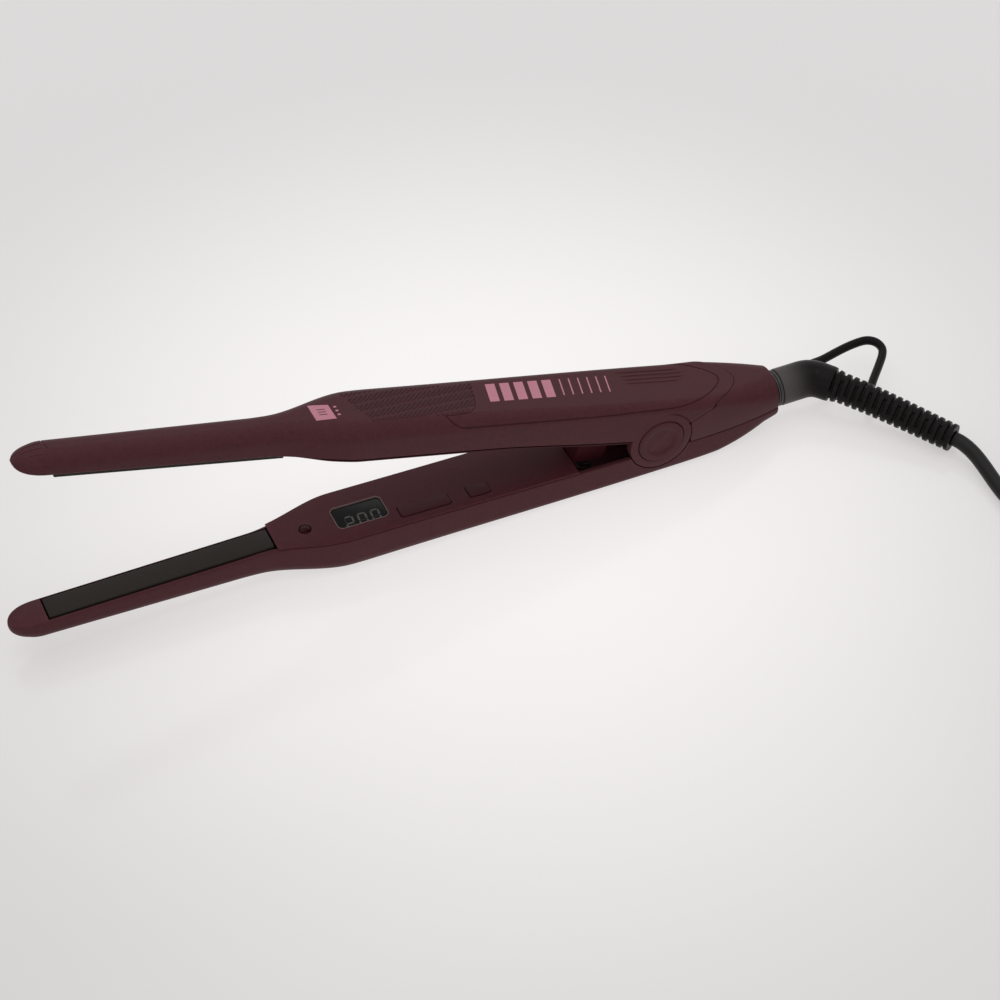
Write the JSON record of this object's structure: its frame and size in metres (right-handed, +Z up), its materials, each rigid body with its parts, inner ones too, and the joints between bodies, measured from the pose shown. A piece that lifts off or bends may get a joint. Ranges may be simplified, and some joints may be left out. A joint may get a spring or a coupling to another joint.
{
  "type": "flat iron",
  "caption": "Pencil hair straightener: two narrow hinged arms with heated plates, sprung open, control panel with display on the lower arm and a swivel cord with hanging loop.",
  "frame": {"origin": "on the flat belly of the lower arm's casing, which lies on the table, on the centre plane 60 mm in front of the hinge pin", "axes": "+X towards the cord, +Z up, hinge pin along Y; the lower arm is level and the upper arm stands open"},
  "size_m": [0.4256, 0.1539, 0.0881],
  "materials": {
    "soft_plum": "soft-touch satin",
    "panel_plum": "satin",
    "display_black": "gloss",
    "led_red": "gloss",
    "plate_ceramic": "satin ceramic coat",
    "tray_black": "matte",
    "heater_film": "satin",
    "sensor_glass": "gloss",
    "fuse_metal": "satin",
    "silicone": "matte",
    "board_green": "satin",
    "module_grey": "satin",
    "emitter_white": "gloss",
    "switch_grey": "matte",
    "capacitor_amber": "gloss",
    "triac_black": "matte",
    "sink_aluminium": "satin",
    "steel": "satin",
    "screw_steel": "satin",
    "bush_acetal": "matte",
    "saddle_black": "matte",
    "brass": "satin",
    "neck_black": "satin",
    "boot_black": "satin",
    "cord_black": "satin",
    "tie_black": "matte",
    "pin_nickel": "polished"
  },
  "bodies": {
    "lower_arm": {"lower_shell": "soft_plum", "rear_housing": "soft_plum", "pivot_cap_left": "soft_plum", "pivot_cap_right": "soft_plum", "lower_face_cover": "panel_plum", "display_lens": "display_black", "led_lens": "led_red", "lower_plate": "plate_ceramic", "lower_plate_tray": "tray_black", "lower_heater": "heater_film", "thermistor": "sensor_glass", "thermal_fuse": "fuse_metal", "circuit_board": "board_green", "display_module": "module_grey", "led_emitter": "emitter_white", "tact_switch_minus": "switch_grey", "tact_switch_plus": "switch_grey", "tact_switch_power": "switch_grey", "film_capacitor": "capacitor_amber", "power_triac": "triac_black", "triac_heatsink": "sink_aluminium", "hinge_pin": "steel", "hinge_spacer": "steel", "opening_spring": "steel", "case_screw_front": "screw_steel", "case_screw_middle": "screw_steel", "case_screw_rear": "screw_steel", "hinge_bush_left": "bush_acetal", "hinge_bush_right": "bush_acetal", "swivel_saddle": "saddle_black", "brush_contact_live": "brass", "brush_contact_neutral": "brass", "cord_run": "cord_black", "cord_coil": "cord_black", "cord_tie": "tie_black", "plug_body": "boot_black", "plug_pin_live": "pin_nickel", "plug_pin_neutral": "pin_nickel"},
    "upper_arm": {"upper_shell": "soft_plum", "upper_inner_cover": "panel_plum", "spring_shroud": "panel_plum", "cover_screw_front": "screw_steel", "cover_screw_rear": "screw_steel", "upper_plate_tray": "tray_black", "plate_cushion_front": "silicone", "plate_cushion_rear": "silicone"},
    "floating_plate": {"upper_plate": "plate_ceramic", "upper_heater": "heater_film"},
    "rocker_key": {"temperature_rocker": "panel_plum"},
    "power_key": {"power_button": "panel_plum"},
    "cord_swivel": {"swivel_neck": "neck_black", "slip_ring_live": "brass", "slip_ring_neutral": "brass", "cord_boot": "boot_black", "hanging_loop": "boot_black"}
  },
  "joints": [
    {"name": "main_hinge", "type": "hinge", "parent": "lower_arm", "child": "upper_arm", "pos_m": [0.06, 0, 0.0163], "axis": [0, -1, 0], "range_deg": [0, 15.9], "stiffness_Nm_per_rad": 0.15, "springref_deg": -57.3, "deforming": ["opening_spring"]},
    {"name": "plate_float", "type": "slide", "parent": "upper_arm", "child": "floating_plate", "axis": [0.2746, 0, 0.9615], "range_m": [0, 0.0006], "stiffness_N_per_m": 1500, "springref_m": -0.0006},
    {"name": "rocker_tilt", "type": "hinge", "parent": "lower_arm", "child": "rocker_key", "pos_m": [-0.0288, -0.0065, 0.01366], "axis": [0, 1, 0], "range_deg": [-2, 2], "stiffness_Nm_per_rad": 0.05},
    {"name": "power_press", "type": "slide", "parent": "lower_arm", "child": "power_key", "axis": [0, 0, -1], "range_m": [0, 0.0006], "stiffness_N_per_m": 800, "springref_m": -0.0004},
    {"name": "swivel_spin", "type": "hinge", "parent": "lower_arm", "child": "cord_swivel", "pos_m": [0.113, 0, 0.0117], "axis": [1, 0, 0], "continuous": true}
  ]
}
